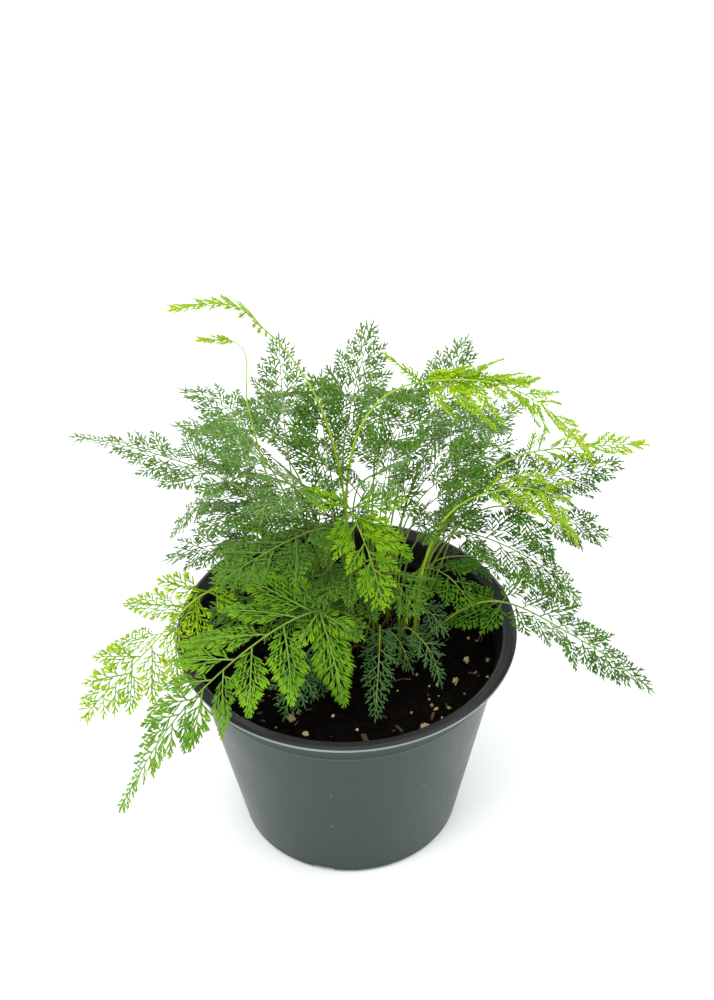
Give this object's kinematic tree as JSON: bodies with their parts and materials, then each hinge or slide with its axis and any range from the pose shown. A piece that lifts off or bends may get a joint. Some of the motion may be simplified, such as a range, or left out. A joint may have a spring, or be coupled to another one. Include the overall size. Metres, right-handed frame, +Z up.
{
  "type": "potted fern",
  "caption": "Lacy footed fern with arching, finely divided fronds in a tapered round nursery pot with a flat lip, filled with dark compost.",
  "frame": {"origin": "middle of the pot's foot, on the surface it stands on", "axes": "+Z up, -Y towards the front, where the large front frond hangs over the rim to the left"},
  "size_m": [0.2681, 0.2233, 0.3003],
  "materials": {
    "pot": "satin",
    "compost": "matt, crumbly",
    "crown": "matt, fibrous",
    "perlite": "matt, granular",
    "frond": "satin",
    "young_frond": "satin"
  },
  "bodies": {
    "root": {"pot": "pot", "compost": "compost", "crown": "crown", "perlite_1": "perlite", "perlite_2": "perlite", "perlite_3": "perlite", "perlite_4": "perlite", "perlite_5": "perlite", "frond_front_arch": "frond", "frond_left_lime": "young_frond", "frond_centre_lime": "young_frond", "frond_right_low": "frond", "frond_right_mid": "frond", "frond_right_dark": "frond", "frond_right_lime_low": "young_frond", "frond_right_lime_high": "young_frond", "frond_top_lime": "young_frond", "frond_tall_sprout": "young_frond", "frond_crozier_sprout": "young_frond", "frond_back_peak": "frond", "frond_back_peak_left": "frond", "frond_back_left_high": "frond", "frond_left_high": "frond", "frond_left_long": "frond", "frond_far_left_droop": "frond", "frond_left_middle": "frond", "frond_left_low": "frond", "frond_right_back": "frond", "frond_right_back_low": "frond", "frond_back_right_peak": "frond", "frond_inner_right": "frond", "frond_inner_left": "frond", "frond_high_middle": "frond", "frond_high_middle_right": "frond", "frond_high_right": "frond", "frond_centre": "frond", "frond_centre_left": "frond", "frond_inner_front": "frond", "frond_inner_front_left": "frond", "frond_inner_front_right": "frond", "frond_inner_centre": "frond", "frond_inner_right_low": "frond", "frond_far_left": "frond", "frond_far_middle_left": "frond", "frond_far_middle": "frond", "frond_far_right": "frond", "frond_far_side": "frond", "frond_low_left": "frond", "frond_low_back_left": "frond", "frond_low_back": "frond", "frond_low_back_right": "frond"}
  },
  "joints": []
}
